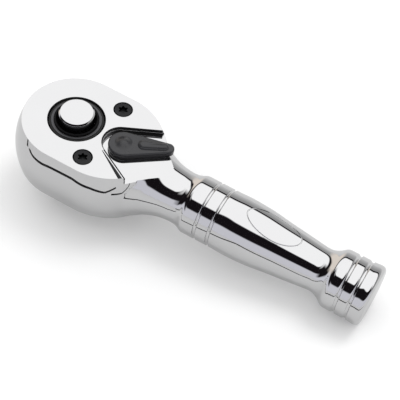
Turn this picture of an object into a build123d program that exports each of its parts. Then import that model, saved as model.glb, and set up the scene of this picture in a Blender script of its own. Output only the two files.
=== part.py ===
from build123d import *

import os
from math import atan2, cos, pi, radians, sin, sqrt, tan

# Stubby 3/8 inch drive ratchet wrench with a quick-release button. Millimetres.
# The origin is the centre of the square drive's tip face, +Z runs up the drive
# axis to the button, and +X runs from the drive axis to the handle's end.

# How far cutting shapes reach past a face, and the room left at a blind end
over = 1.0
blind_room = 0.3

# Levels along the drive axis
drive_length = 10.8
body_bottom = 11.0
body_height = 18.0
deck = body_bottom + body_height
cover_thickness = 2.0
cover_top = deck + cover_thickness
handle_axis = 20.1

# Head, seen from above
head_radius = 16.75
side_end = 10.5
back_radius = 19.7
back_offset = back_radius - head_radius
back_angle = 35.2
barrel_swell = 2.1
barrel_middle = 20.5
barrel_levels = [14.0, 17.0, 20.5, 24.0]
bottom_round = 2.6

# Neck and handle: radius about the handle's axis at each station along X
neck_stations = [(20.0, 15.4), (23.5, 14.05), (26.0, 12.9), (28.0, 11.7), (30.1, 10.46)]
neck_stations += [(34.0, 9.0), (38.2, 8.38)]
neck_start_slope = -0.38
neck_slab = 60.0
collar_slope = 0.9
grip_start_slope = 0.03
grip_end_slope = -0.02
end_rise_slope = 1.3
end_step = 0.4
front_collar = (43.0, 9.6)
grip_start = 53.4
grip_stations = [(59.0, 9.72), (66.0, 9.38), (73.0, 8.5), (80.0, 7.74), (86.2, 7.0)]
end_collar = (91.8, 9.5)
end_collar_radius = 9.75
handle_end = 104.5
end_round = 1.6
groove_places = [(48.3, 9.65), (52.9, 9.62), (95.7, 9.5), (99.6, 9.6)]
groove_radius = 0.6
groove_rise = 0.2
oval_centre = 69.7
oval_length = 18.2
oval_width = 8.6
oval_line = 0.55
oval_depth = 0.25

# Cover
notch_radius = 5.8
notch_centre = 16.3
notch_angle = 28.3
notch_reach = 40.0
cover_edge = 0.35
hub_hole_radius = 8.45
hub_hole_chamfer = 0.55
screw_x = 9.72
screw_y = 11.41
screw_radius = 1.5
screw_head_radius = 3.02
screw_head_height = 1.6
screw_length = 9.5
screw_clearance = 0.02
screw_sink = 0.05
recess_depth = 1.3
lobe_core = 1.2
lobe_circle = 1.28
lobe_radius = 0.38
dowel_x = 19.2
dowel_y = 10.6
dowel_radius = 1.0
dowel_depth = 3.0
dowel_rise = 1.0

# Drive gear
teeth = 72
tooth_tip = 10.3
tooth_root = 9.85
tooth_root_share = 0.45
tooth_tip_share = 0.08
floor_top = 14.5
washer_thickness = 0.5
gear_bottom = floor_top + washer_thickness
gear_height = 11.0
gear_top = gear_bottom + gear_height
pocket_radius = 10.6
journal_radius = 8.0
running_fit = 0.05
shoulder_radius = 9.8
shoulder_top = deck - 0.2
hub_radius = 7.8
hub_top = cover_top - 0.2
washer_room = 0.3
seal_outer = 8.4
seal_bottom = deck + 0.3
seal_top = cover_top - 0.45
square = 9.525
square_chamfer = 0.8
o_ring_level = 12.7
o_ring_wire = 0.58
o_ring_room = 0.07
o_ring_squeeze = 0.03
o_ring_centre = journal_radius + o_ring_squeeze - o_ring_wire

# Quick release
ball_radius = 1.984
ball_level = 5.5
ball_proud = 0.7
ball_centre = square / 2 + ball_proud - ball_radius
ball_bore = 2.03
ball_lip = 1.6
ball_lip_depth = 0.66
ball_bore_start = 0.3
rod_radius = 1.45
rod_bore = 1.6
rod_waist = 0.85
rod_bottom = 4.0
rod_bevel = 0.3
taper_start = ball_level - 0.5
waist_start = ball_level + 2.0
waist_end = ball_level + 3.1
waist_taper = 1.4
bore_bottom = 1.2
button_radius = 5.5
button_top = cover_top + 3.3
button_bevel = 0.4
button_roof = 1.6
collar_outer = 7.0
collar_inner = 5.6
collar_mouth = 6.7
collar_mouth_depth = 1.1
collar_bottom = 29.0
collar_top = cover_top + 0.5
flange_radius = 6.3
flange_bottom = 27.4
flange_top = collar_bottom - 0.05
spring_seat = 17.0
spring_wire = 0.35
spring_coil = 2.9
spring_turns = 5.5
spring_bore = 3.8
flange_bore = 6.4
flange_bore_bottom = 23.5

# Pawl and its chamber
pawl_low = gear_bottom + 0.1
pawl_high = gear_top - 0.2
pin_x = 12.4
pin_radius = 1.0
pin_bottom = 11.3
pin_top = 27.5
pawl_tilt = 5.0
pawl_inner = 10.75
pawl_outer = 13.6
pawl_half_angle = 36.0
pawl_back = 14.3
pawl_hub_width = 5.0
pawl_tooth_depth = 1.2
pawl_root_room = 0.02
tooth_start_angle = 22.0
mesh_gap = 0.05
mesh_play = 0.3
rocking_gap = 0.1
chamber_radius = 14.7
chamber_half_angle = 41.0
chamber_inner = 6.0

# Reversing lever and selector
pivot_x = 17.0
lever_rest = 27.0
lever_round = 4.7
lever_tip_round = 1.9
lever_reach = 13.7
lever_bottom = deck + 0.1
lever_step = deck + 1.05
lever_step_inset = 0.12
lever_pad = cover_top + 0.2
lever_edge = 0.5
mound_sink = 0.5
dome_radius = 2.5
dome_top = cover_top + 1.1
dome_edge = 0.7
ridge_top = cover_top + 1.3
ridge_start = 6.2
ridge_round = 1.75
ridge_tip_round = 1.3
ridge_reach = 12.6
ridge_edge = 0.9
spindle_radius = 2.4
spindle_bore = 2.45
spindle_pilot = 1.4
pilot_bottom = 12.8
stud_radius = 1.6
stud_top = cover_top - 0.4
plunger_radius = 0.9
plunger_bore = 0.95
plunger_level = 20.5
plunger_tip = 2.95
plunger_heel = 0.9
plunger_bevel = 0.35
plunger_bore_end = 0.6
plunger_spring_wire = 0.15
plunger_spring_coil = 0.6
plunger_spring_length = 1.5
plunger_spring_turns = 3
selector_room = 3.6
clip_level = 25.2
clip_thickness = 0.6
clip_outer = 2.8
clip_neck = 1.9
clip_gap = 2.4
lever_ring_level = 27.4
lever_ring_wire = 0.42
lever_ring_room = 0.06
lever_ring_squeeze = 0.02
lever_ring_centre = spindle_radius + lever_ring_squeeze - lever_ring_wire


def polar(radius, angle):
    """Point at a radius and an angle in degrees about the drive axis."""
    return (radius * cos(radians(angle)), radius * sin(radians(angle)))


def cylinder(radius, low, high, x=0.0, y=0.0):
    """Upright cylinder between two levels."""
    return Pos(x, y, (low + high) / 2) * Cylinder(radius, high - low)


def ring(outer, inner, low, high, x=0.0, y=0.0):
    """Upright tube between two levels."""
    return cylinder(outer, low, high, x, y) - cylinder(inner, low, high, x, y)


def sector(inner, outer, first, last, low, high):
    """Part of an upright ring between two angles."""
    start_in = polar(inner, first)
    start_out = polar(outer, first)
    end_in = polar(inner, last)
    end_out = polar(outer, last)
    middle = (first + last) / 2
    edges = [
        Line(start_in, start_out),
        ThreePointArc(start_out, polar(outer, middle), end_out),
        Line(end_out, end_in),
        ThreePointArc(end_in, polar(inner, middle), start_in),
    ]
    return Pos(0, 0, low) * extrude(make_face(edges), high - low)


def tapered_bar(round_end, tip_round, reach, low, high, start=0.0):
    """Bar whose plan is two circles of different size joined by tangents, along +X."""
    reach = reach - start
    lean = atan2(round_end - tip_round, sqrt(reach**2 - (round_end - tip_round) ** 2))
    side_x = sin(lean)
    side_y = cos(lean)
    heel_top = (round_end * side_x, round_end * side_y)
    toe_top = (reach + tip_round * side_x, tip_round * side_y)
    edges = [
        Line(heel_top, toe_top),
        ThreePointArc(toe_top, (reach + tip_round, 0), (toe_top[0], -toe_top[1])),
        Line((toe_top[0], -toe_top[1]), (heel_top[0], -heel_top[1])),
        ThreePointArc((heel_top[0], -heel_top[1]), (-round_end, 0), heel_top),
    ]
    return Pos(start, 0, low) * extrude(make_face(edges), high - low)


def at_lever(shape):
    """Places a shape made about the pivot, pointing along +X, at the lever's rest angle."""
    return Pos(pivot_x, 0, 0) * Rot(0, 0, lever_rest) * shape


def barrel(level):
    """How far the head's wall stands outside the cover's top outline at a level."""
    share = (level - barrel_middle) / (cover_top - barrel_middle)
    return barrel_swell * (1 - share**2)


def head_outline(grow, level):
    """The head's plan, grown outward, as a face at a level."""
    half = head_radius + grow
    back = back_radius + grow
    end_x = side_end + back * cos(radians(back_angle))
    end_y = back * sin(radians(back_angle)) - back_offset
    mid_angle = radians((90 + back_angle) / 2)
    mid_x = side_end + back * cos(mid_angle)
    mid_y = back * sin(mid_angle) - back_offset
    edges = [
        ThreePointArc((0, half), (-half, 0), (0, -half)),
        Line((0, -half), (side_end, -half)),
        ThreePointArc((side_end, -half), (mid_x, -mid_y), (end_x, -end_y)),
        Line((end_x, -end_y), (end_x, end_y)),
        ThreePointArc((end_x, end_y), (mid_x, mid_y), (side_end, half)),
        Line((side_end, half), (0, half)),
    ]
    return Pos(0, 0, level) * make_face(edges)


def head_block():
    """Barrel-walled head from the body's bottom to the deck, rounded below."""
    levels = [body_bottom, *barrel_levels, deck]
    block = loft([head_outline(barrel(level), level) for level in levels])
    lowest = block.faces().sort_by(Axis.Z)[0]
    return fillet(lowest.edges(), bottom_round)


def turned(edges, first, last):
    """Turns edges in X and radius, from a first point to a last, about the handle's axis."""
    closing = [
        Line(last, (last[0], 0)),
        Line((last[0], 0), (first[0], 0)),
        Line((first[0], 0), first),
    ]
    upright = Plane.XZ * make_face(edges + closing)
    return Pos(0, 0, handle_axis) * revolve(upright, Axis.X, 360)


def neck():
    """Flared neck between the head and the handle, cut flat above and below."""
    curve = Spline(neck_stations, tangents=[(1, neck_start_slope), (1, 0)])
    flare = turned([curve], neck_stations[0], neck_stations[-1])
    slab = Pos(neck_slab / 2, 0, (body_bottom + deck) / 2) * Box(neck_slab, neck_slab, body_height)
    return flare & slab


def handle(inset=0.0):
    """The handle as one turned shape, optionally shrunk by an inset for engraving."""
    start = (neck_stations[-1][0], neck_stations[-1][1] - inset)
    collar = (front_collar[0], front_collar[1] - inset)
    grip_first = (grip_start, front_collar[1] - inset)
    grip = [grip_first] + [(x, r - inset) for x, r in grip_stations]
    rise = (end_collar[0], end_collar[1] - inset)
    end_start = (groove_places[-1][0], end_collar[1] - inset)
    outer = end_collar_radius - inset
    rim_start = (handle_end - end_round, outer)
    rim_end = (handle_end, outer - end_round)
    rim_middle = (handle_end - end_round * (1 - cos(pi / 4)), outer - end_round * (1 - sin(pi / 4)))
    edges = [
        Spline([start, collar], tangents=[(1, 0), (1, collar_slope)], tangent_scalars=[1.6, 0.5]),
        Line(collar, grip_first),
        Spline(grip, tangents=[(1, grip_start_slope), (1, grip_end_slope)]),
        Spline([grip[-1], rise], tangents=[(1, grip_end_slope), (1, end_rise_slope)]),
        Line(rise, end_start),
        Line(end_start, (end_start[0] + end_step, outer)),
        Line((end_start[0] + end_step, outer), rim_start),
        ThreePointArc(rim_start, rim_middle, rim_end),
    ]
    return turned(edges, start, rim_end)


def handle_grooves():
    """Turned grooves beside the collars."""
    grooves = []
    for place, radius in groove_places:
        wire = Torus(radius + groove_rise, groove_radius)
        grooves.append(Pos(place, 0, handle_axis) * Rot(0, 90, 0) * wire)
    return grooves


def oval_engraving():
    """Plain engraved oval line on the top of the grip."""
    outer = Ellipse(oval_length / 2, oval_width / 2)
    inner = Ellipse(oval_length / 2 - oval_line, oval_width / 2 - oval_line)
    band = Pos(oval_centre, 0, handle_axis) * extrude(outer - inner, end_collar_radius + over)
    return band - handle(oval_depth)


def screw_places():
    """Where the cover's two screws stand."""
    return [(screw_x, screw_y), (screw_x, -screw_y)]


def dowel_places():
    """Where the two dowels that locate the cover stand."""
    return [(dowel_x, dowel_y), (dowel_x, -dowel_y)]


def pawl_chamber():
    """Room for the pawl behind the gear, and for the selector behind the pawl."""
    half = chamber_half_angle
    room = sector(chamber_inner, chamber_radius, -half, half, gear_bottom, gear_top)
    return [room, cylinder(selector_room, gear_bottom, gear_top, pivot_x)]


def ratchet_body():
    body = head_block() + neck() + handle()
    pilot_bore = spindle_pilot + running_fit
    tools = [
        cylinder(pocket_radius, floor_top, deck + over),
        cylinder(journal_radius + running_fit, body_bottom - over, floor_top + over),
        cylinder(pin_radius, body_bottom - over, pin_top + blind_room, pin_x),
        cylinder(spindle_bore, gear_bottom, deck + over, pivot_x),
        cylinder(pilot_bore, pilot_bottom - blind_room, gear_bottom + over, pivot_x),
        oval_engraving(),
    ]
    tools += pawl_chamber()
    tools += handle_grooves()
    for x, y in screw_places():
        tools.append(cylinder(screw_radius, cover_top - screw_length - over, deck + over, x, y))
    for x, y in dowel_places():
        tools.append(cylinder(dowel_radius, deck - dowel_depth, deck + over, x, y))
    for tool in tools:
        body = body - tool
    return body


def notch():
    """The cover's rear opening around the lever: a round apex and two diverging sides."""
    touch_x = notch_centre - notch_radius * sin(radians(notch_angle))
    touch_y = notch_radius * cos(radians(notch_angle))
    far_y = touch_y + (notch_reach - touch_x) * tan(radians(notch_angle))
    edges = [
        ThreePointArc((touch_x, touch_y), (notch_centre - notch_radius, 0), (touch_x, -touch_y)),
        Line((touch_x, -touch_y), (notch_reach, -far_y)),
        Line((notch_reach, -far_y), (notch_reach, far_y)),
        Line((notch_reach, far_y), (touch_x, touch_y)),
    ]
    return Pos(0, 0, deck - over) * extrude(make_face(edges), cover_thickness + 2 * over)


def countersink(clearance):
    """Cone and shank of a flush screw, about X = Y = 0."""
    top = cover_top - screw_sink + clearance
    base = cover_top - screw_head_height
    cone = Cone(screw_radius + clearance, screw_head_radius + clearance, top - base)
    return Pos(0, 0, (top + base) / 2) * cone


def cover_plate():
    plate = loft([head_outline(barrel(deck), deck), head_outline(0, cover_top)])
    plate = plate - notch()
    plate = fillet(plate.faces().sort_by(Axis.Z)[-1].edges(), cover_edge)
    mouth = cylinder(hub_hole_radius, deck - over, cover_top + over)
    chamfer_low = cover_top - hub_hole_chamfer
    bevel = Pos(0, 0, (chamfer_low + cover_top) / 2)
    bevel = bevel * Cone(hub_hole_radius, hub_hole_radius + hub_hole_chamfer, hub_hole_chamfer)
    plate = plate - mouth - bevel
    for x, y in screw_places():
        plate = plate - Pos(x, y, 0) * countersink(screw_clearance)
        hole = cylinder(screw_radius + screw_clearance, deck - over, cover_top + over, x, y)
        rim_radius = screw_head_radius + screw_clearance
        rim = cylinder(rim_radius, cover_top - screw_sink, cover_top + over, x, y)
        plate = plate - hole - rim
    for x, y in dowel_places():
        plate = plate - cylinder(dowel_radius, deck - over, deck + dowel_rise + 2 * running_fit, x, y)
    return plate


def six_lobe(low, high):
    """Six-lobed driver recess."""
    recess = cylinder(lobe_core, low, high)
    for lobe in range(6):
        x, y = polar(lobe_circle, 60 * lobe)
        recess = recess + cylinder(lobe_radius, low, high, x, y)
    return recess


def cover_screws():
    top = cover_top - screw_sink
    shank = cylinder(screw_radius - screw_clearance, cover_top - screw_length, top - recess_depth / 2)
    screw = countersink(0) + shank - six_lobe(top - recess_depth, top + over)
    return [Pos(x, y, 0) * screw for x, y in screw_places()]


def cover_dowels():
    return [cylinder(dowel_radius, deck - dowel_depth, deck + dowel_rise, x, y) for x, y in dowel_places()]


def gear_outline(grow, start=0.0):
    """Toothed disc outline with symmetric teeth, grown outward."""
    pitch = 360 / teeth
    points = []
    for tooth in range(teeth):
        angle = start + tooth * pitch
        points.append(polar(tooth_root + grow, angle - tooth_root_share * pitch))
        points.append(polar(tooth_tip + grow, angle - tooth_tip_share * pitch))
        points.append(polar(tooth_tip + grow, angle + tooth_tip_share * pitch))
        points.append(polar(tooth_root + grow, angle + tooth_root_share * pitch))
    return make_face(Polyline(points, close=True))


def drive_gear():
    gear = Pos(0, 0, gear_bottom) * extrude(gear_outline(0), gear_height)
    gear = gear + cylinder(shoulder_radius, gear_top, shoulder_top)
    gear = gear + cylinder(hub_radius, shoulder_top, hub_top)
    gear = gear + cylinder(journal_radius, drive_length, gear_bottom)
    post = Pos(0, 0, (drive_length + over) / 2) * Box(square, square, drive_length + over)
    gear = gear + chamfer(post.faces().sort_by(Axis.Z)[0].edges(), square_chamfer)
    half = o_ring_wire + o_ring_room
    groove_floor = o_ring_centre - o_ring_wire
    gear = gear - ring(journal_radius + over, groove_floor, o_ring_level - half, o_ring_level + half)
    gear = gear - cylinder(rod_bore, bore_bottom, spring_seat + over)
    gear = gear - cylinder(spring_bore, spring_seat, flange_bore_bottom + over)
    gear = gear - cylinder(flange_bore, flange_bore_bottom, collar_bottom + over)
    gear = gear - cylinder(collar_outer, collar_bottom, hub_top + over)
    return gear - ball_pocket()


def ball_pocket():
    """Cross bore for the ball on the -X side, narrowed to a lip at the face."""
    straight_end = square / 2 - ball_lip_depth
    straight = Cylinder(ball_bore, straight_end - ball_bore_start)
    lip = Cone(ball_lip, ball_bore, square / 2 - straight_end)
    turn = Rot(0, 90, 0)
    straight = Pos(-(straight_end + ball_bore_start) / 2, 0, ball_level) * turn * straight
    lip = Pos(-(square / 2 + straight_end) / 2, 0, ball_level) * turn * lip
    return straight + lip


def thrust_washer():
    return ring(tooth_tip, journal_radius + washer_room, floor_top, gear_bottom)


def drive_o_ring():
    return Pos(0, 0, o_ring_level) * Torus(o_ring_centre, o_ring_wire)


def hub_seal():
    return ring(seal_outer, hub_radius + running_fit, seal_bottom, seal_top)


def button_collar():
    collar = ring(collar_outer, collar_inner, collar_bottom, collar_top)
    mouth = Cone(collar_inner, collar_mouth, collar_mouth_depth)
    return collar - Pos(0, 0, collar_top - collar_mouth_depth / 2) * mouth


def release_button():
    button = cylinder(button_radius, flange_bottom, button_top)
    button = chamfer(button.faces().sort_by(Axis.Z)[-1].edges(), button_bevel)
    button = button + cylinder(flange_radius, flange_bottom, flange_top)
    return button - cylinder(rod_radius, flange_bottom - over, button_top - button_roof)


def push_rod():
    """Rod with a tapered waist that lets the ball in when the button is pressed."""
    top = button_top - button_roof
    points = [
        (0, rod_bottom),
        (rod_radius - rod_bevel, rod_bottom),
        (rod_radius, rod_bottom + rod_bevel),
        (rod_radius, taper_start),
        (rod_waist, waist_start),
        (rod_waist, waist_end),
        (rod_radius, waist_end + waist_taper),
        (rod_radius, top),
        (0, top),
    ]
    profile = make_face(Polyline(points, close=True))
    return revolve(Plane.XZ * profile, Axis.Z, 360)


def coil(radius, wire, low, high, turns):
    """Compression spring between two levels."""
    rise = high - low - 2 * wire
    path = Helix(pitch=rise / turns, height=rise, radius=radius)
    section = Plane(origin=path @ 0, z_dir=path % 0) * Circle(wire)
    return Pos(0, 0, low + wire) * sweep(section, path, is_frenet=True)


def release_spring():
    return coil(spring_coil, spring_wire, spring_seat, flange_bottom, spring_turns)


def detent_ball():
    return Pos(-ball_centre, 0, ball_level) * Sphere(ball_radius)


def about_pin(shape, angle):
    """Turns a shape about the pawl's pin."""
    return Pos(pin_x, 0, 0) * Rot(0, 0, angle) * Pos(-pin_x, 0, 0) * shape


def pawl():
    """Rocking pawl: each end carries teeth cut by the gear, and one end is in mesh at rest."""
    rocker = sector(pawl_inner, pawl_outer, -pawl_half_angle, pawl_half_angle, pawl_low, pawl_high)
    hub = Box(pawl_back - pawl_inner, pawl_hub_width, pawl_high - pawl_low)
    rocker = rocker + Pos((pawl_back + pawl_inner) / 2, 0, (pawl_low + pawl_high) / 2) * hub
    swept_gear = cylinder(tooth_tip + rocking_gap, pawl_low - over, pawl_high + over)
    for tilt in (pawl_tilt, -pawl_tilt):
        rocker = rocker - about_pin(swept_gear, tilt)
    inner = tooth_root + mesh_gap + pawl_root_room
    outer = pawl_outer - pawl_tooth_depth
    tooth_end = sector(inner, outer, tooth_start_angle, pawl_half_angle, pawl_low, pawl_high)
    for play in (mesh_play, -mesh_play):
        bite = extrude(gear_outline(mesh_gap, play), pawl_high - pawl_low + 2 * over)
        tooth_end = tooth_end - Pos(0, 0, pawl_low - over) * bite
    upper = about_pin(tooth_end, -pawl_tilt)
    rocker = rocker + upper + mirror(upper, Plane.XZ)
    rocker = rocker - cylinder(pin_radius + running_fit, pawl_low - over, pawl_high + over, pin_x)
    rocker = rocker - cylinder(plunger_tip + 2 * running_fit, pawl_low - over, pawl_high + over, pivot_x)
    return about_pin(rocker, -pawl_tilt)


def pawl_pin():
    return cylinder(pin_radius, pin_bottom, pin_top, pin_x)


def reverse_lever():
    """Two-tier pad with a dome over the pivot and a long thumb ridge."""
    lower_round = lever_round - lever_step_inset
    lower_tip = lever_tip_round - lever_step_inset
    lower = tapered_bar(lower_round, lower_tip, lever_reach, lever_bottom, lever_step + over / 2)
    pad = tapered_bar(lever_round, lever_tip_round, lever_reach, lever_step, lever_pad)
    pad = fillet(pad.faces().sort_by(Axis.Z)[-1].edges(), lever_edge)
    dome = cylinder(dome_radius, lever_pad - mound_sink, dome_top)
    dome = fillet(dome.faces().sort_by(Axis.Z)[-1].edges(), dome_edge)
    ridge_low = lever_pad - mound_sink
    ridge = tapered_bar(ridge_round, ridge_tip_round, ridge_reach, ridge_low, ridge_top, ridge_start)
    ridge = fillet(ridge.faces().sort_by(Axis.Z)[-1].edges(), ridge_edge)
    lever = lower + pad + dome + ridge
    return at_lever(lever - cylinder(stud_radius, lever_bottom - over, stud_top))


def selector_spindle():
    outside = spindle_radius + over
    spindle = cylinder(spindle_radius, pawl_low, lever_bottom)
    spindle = spindle + cylinder(spindle_pilot, pilot_bottom, pawl_low)
    spindle = spindle + cylinder(stud_radius, lever_bottom, stud_top)
    spindle = spindle - ring(outside, clip_neck, clip_level, clip_level + clip_thickness)
    half = lever_ring_wire + lever_ring_room
    groove_floor = lever_ring_centre - lever_ring_wire
    spindle = spindle - ring(outside, groove_floor, lever_ring_level - half, lever_ring_level + half)
    bore = Cylinder(plunger_bore, outside + plunger_bore_end)
    bore = Pos((plunger_bore_end - outside) / 2, 0, plunger_level) * Rot(0, 90, 0) * bore
    return at_lever(spindle - bore)


def selector_plunger():
    shank = Rot(0, 90, 0) * Cylinder(plunger_radius, plunger_tip - plunger_heel)
    shank = Pos(-(plunger_tip + plunger_heel) / 2, 0, plunger_level) * shank
    return at_lever(chamfer(shank.faces().sort_by(Axis.X)[0].edges(), plunger_bevel))


def plunger_spring():
    wire, turns = plunger_spring_wire, plunger_spring_turns
    spring = coil(plunger_spring_coil, wire, 0, plunger_spring_length, turns)
    return at_lever(Pos(plunger_bore_end, 0, plunger_level) * Rot(0, -90, 0) * spring)


def spindle_clip():
    """Open retaining ring in the spindle's groove, under the chamber's roof."""
    clip = ring(clip_outer, clip_neck, clip_level, clip_level + clip_thickness)
    gap = Box(clip_outer + over, clip_gap, clip_thickness + over)
    gap = Pos((clip_outer + over) / 2, 0, clip_level + clip_thickness / 2) * gap
    return at_lever(clip - gap)


def lever_o_ring():
    return Pos(pivot_x, 0, lever_ring_level) * Torus(lever_ring_centre, lever_ring_wire)


nodes = {
    "ratchet_body": ratchet_body,
    "cover_plate": cover_plate,
    "cover_screws": cover_screws,
    "cover_dowels": cover_dowels,
    "drive_gear": drive_gear,
    "thrust_washer": thrust_washer,
    "drive_o_ring": drive_o_ring,
    "hub_seal": hub_seal,
    "button_collar": button_collar,
    "release_button": release_button,
    "push_rod": push_rod,
    "release_spring": release_spring,
    "detent_ball": detent_ball,
    "pawl": pawl,
    "pawl_pin": pawl_pin,
    "reverse_lever": reverse_lever,
    "selector_spindle": selector_spindle,
    "selector_plunger": selector_plunger,
    "plunger_spring": plunger_spring,
    "spindle_clip": spindle_clip,
    "lever_o_ring": lever_o_ring,
}

os.makedirs("parts", exist_ok=True)
for name, make in nodes.items():
    made = make()
    shape = Compound(children=made) if isinstance(made, list) else made
    export_step(shape, f"parts/{name}.step")
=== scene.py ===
import math

import bmesh
import bpy
from mathutils import Matrix, Vector


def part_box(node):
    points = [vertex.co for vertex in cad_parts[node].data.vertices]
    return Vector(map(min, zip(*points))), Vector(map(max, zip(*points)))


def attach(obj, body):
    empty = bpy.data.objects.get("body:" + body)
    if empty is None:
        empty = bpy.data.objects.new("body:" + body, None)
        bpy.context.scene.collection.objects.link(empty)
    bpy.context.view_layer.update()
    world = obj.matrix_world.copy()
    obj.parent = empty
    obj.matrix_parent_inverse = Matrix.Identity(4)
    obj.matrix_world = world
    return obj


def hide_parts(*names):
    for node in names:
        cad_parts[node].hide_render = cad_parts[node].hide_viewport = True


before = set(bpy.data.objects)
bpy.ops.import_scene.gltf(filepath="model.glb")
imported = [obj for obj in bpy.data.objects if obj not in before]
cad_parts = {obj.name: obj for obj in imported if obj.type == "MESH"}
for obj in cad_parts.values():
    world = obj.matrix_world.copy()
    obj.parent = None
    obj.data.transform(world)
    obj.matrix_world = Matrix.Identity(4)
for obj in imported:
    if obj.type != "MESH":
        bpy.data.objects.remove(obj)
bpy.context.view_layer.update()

bl_info = {
    "name": "Stubby ratchet wrench",
    "version": (1, 0, 0),
    "blender": (4, 5, 0),
    "location": "View3D > Sidebar > Wrench",
    "description": "Builds a quick-release ratchet wrench and its studio around the packed frame",
    "category": "Mesh",
}

MM = 0.001
ROUND = 128
HEAD_BOTTOM = 11.0 * MM
SQUARE_HALF = 3.96 * MM
JOURNAL_HOLE = 8.05 * MM
SPINDLE_HOLE = 2.45 * MM
SCREW_HOLE = 1.5 * MM
SCREW_SHANK = 1.48 * MM
SCREW_CONE = 1.55 * MM
BUTTON_RADIUS = 5.5 * MM
ROD_HOLE = 1.5 * MM
COVER_LOW, COVER_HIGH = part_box("cover_plate")
BUTTON_LOW, BUTTON_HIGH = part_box("release_button")
COLLAR_LOW, COLLAR_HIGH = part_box("button_collar")
LEVER_LOW, LEVER_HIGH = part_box("reverse_lever")
BALL_LOW, BALL_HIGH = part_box("detent_ball")
SCREW_LOW, SCREW_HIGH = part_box("cover_screws")
WASHER_LOW, WASHER_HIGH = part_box("thrust_washer")


def length(name, millimetres, description):
    """A length property whose default is given in millimetres."""
    return bpy.props.FloatProperty(name=name, description=description, default=millimetres * MM,
                                   unit="LENGTH", precision=5)


def turn(name, degrees, description):
    """An angle property whose default is given in degrees."""
    return bpy.props.FloatProperty(name=name, description=description,
                                   default=math.radians(degrees), unit="ROTATION")


def tint(name, colour, description):
    """A colour property."""
    return bpy.props.FloatVectorProperty(name=name, description=description, default=colour,
                                         subtype="COLOR", size=3, min=0.0, max=1.0)


def share(name, value, description):
    """A property between 0 and 1."""
    return bpy.props.FloatProperty(name=name, description=description, default=value,
                                   min=0.0, max=1.0, subtype="FACTOR")


class WrenchHeadSizes(bpy.types.PropertyGroup):
    """Sizes of the head and what sits on it."""
    radius: length("Head radius", 16.75, "Radius of the cover's round front")
    side_end: length("Side end", 10.5, "Where the head's straight sides end")
    back_radius: length("Back radius", 19.7, "Radius of the head's back corners")
    back_angle: turn("Back angle", 35.2, "Where the back corner arcs end")
    swell: length("Swell", 2.1, "How far the side wall bulges beyond the cover")
    swell_level: length("Swell level", 20.5, "Level of the widest point of the side wall")
    bottom_round: length("Bottom round", 2.6, "Radius of the head's lower edge")
    notch_radius: length("Notch radius", 5.8, "Radius of the cover's notch around the lever")
    notch_centre: length("Notch centre", 16.3, "Centre of the notch's round end")
    notch_angle: turn("Notch angle", 28.3, "How much each side of the notch diverges")
    cover_edge: length("Cover edge", 0.62, "Radius of the cover's rounded edges")
    notch_edge: length("Notch edge", 0.35, "Width of the bevel around the notch")
    # The land, start and lip widths size a painted dark reflection on the cover's top beside the -Y side
    # of the notch; the glint between them stays plain chrome.
    notch_painted_land: length("Notch land", 2.1, "Width of the painted dark land at the horn")
    notch_painted_start: length("Notch start", 1.05, "Width of the painted dark land at the notch's round end")
    notch_painted_lip: length("Notch lip", 0.2, "Width of the dark lip beside the notch")
    notch_glint: length("Notch glint", 0.3, "Width of the bright line beside the lip")
    hub_hole: length("Hub hole", 8.65, "Radius of the hole for the drive's hub")
    hub_chamfer: length("Hub chamfer", 0.35, "Chamfer around the hub hole")
    screw_x: length("Screw X", 9.72, "Distance of the screws behind the drive axis")
    screw_y: length("Screw Y", 11.41, "Distance of each screw from the centre line")
    screw_head: length("Screw head", 3.02, "Radius of a screw's head")


class WrenchHandleSizes(bpy.types.PropertyGroup):
    """Sizes of the neck and the handle."""
    axis: length("Axis level", 20.1, "Level of the handle's axis")
    groove_width: length("Groove width", 1.15, "Width of the turned grooves")
    groove_depth: length("Groove depth", 0.48, "Depth of the turned grooves")
    end_round: length("End round", 1.6, "Radius around the handle's end")
    end_crown: length("End crown", 0.3, "How far the end face bulges")
    oval_centre: length("Oval centre", 69.7, "Middle of the engraved oval")
    oval_length: length("Oval length", 18.2, "Length of the engraved oval")
    oval_width: length("Oval width", 8.6, "Width of the engraved oval")
    oval_line: length("Oval line", 0.42, "Width of the engraved line")


class WrenchLeverSizes(bpy.types.PropertyGroup):
    """Sizes of the reversing lever."""
    pivot: length("Pivot", 17.0, "Distance of the pivot from the drive axis")
    rest: turn("Rest angle", 27.0, "Angle of the lever at rest")
    heel: length("Heel radius", 4.7, "Radius of the lever's round end")
    toe: length("Toe radius", 1.9, "Radius of the lever's tip")
    reach: length("Reach", 13.7, "Distance from the pivot to the tip's centre")
    dome: length("Dome radius", 3.0, "Radius of the dome over the pivot")
    ridge_start: length("Ridge start", 6.1, "Where the thumb ridge begins")
    ridge_end: length("Ridge end", 12.6, "Where the thumb ridge ends")


class WrenchFinish(bpy.types.PropertyGroup):
    """Colours and polish."""
    chrome: tint("Chrome", (0.62, 0.62, 0.625), "Colour of the chrome plating")
    chrome_rough: share("Chrome roughness", 0.035, "Roughness of the plating")
    black_oxide: tint("Black oxide", (0.038, 0.038, 0.04), "Colour of the screws and the hub")
    lever: tint("Lever", (0.026, 0.026, 0.029), "Colour of the lever's satin coat")
    steel: tint("Steel", (0.46, 0.46, 0.47), "Colour of the bare steel inside")
    rubber: tint("Rubber", (0.015, 0.015, 0.015), "Colour of the seals")


class WrenchStage(bpy.types.PropertyGroup):
    """Camera and studio."""
    azimuth: turn("Azimuth", 22.05, "Camera direction around the wrench")
    elevation: turn("Elevation", 53.01, "Camera height above the wrench's own plane")
    roll: turn("Roll", 9.74, "Camera roll, from the way the wrench leans on its drive")
    distance: length("Distance", 360.0, "Distance from the camera to its target")
    target_x: length("Target X", 43.96, "Where the camera looks, along the wrench")
    target_y: length("Target Y", 2.19, "Where the camera looks, across the wrench")
    lens: bpy.props.FloatProperty(name="Lens", description="Focal length in millimetres for a 36 mm frame",
                                  default=105.5, min=10.0)
    floor: tint("Floor", (0.94, 0.94, 0.94), "Colour of the floor")


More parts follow.
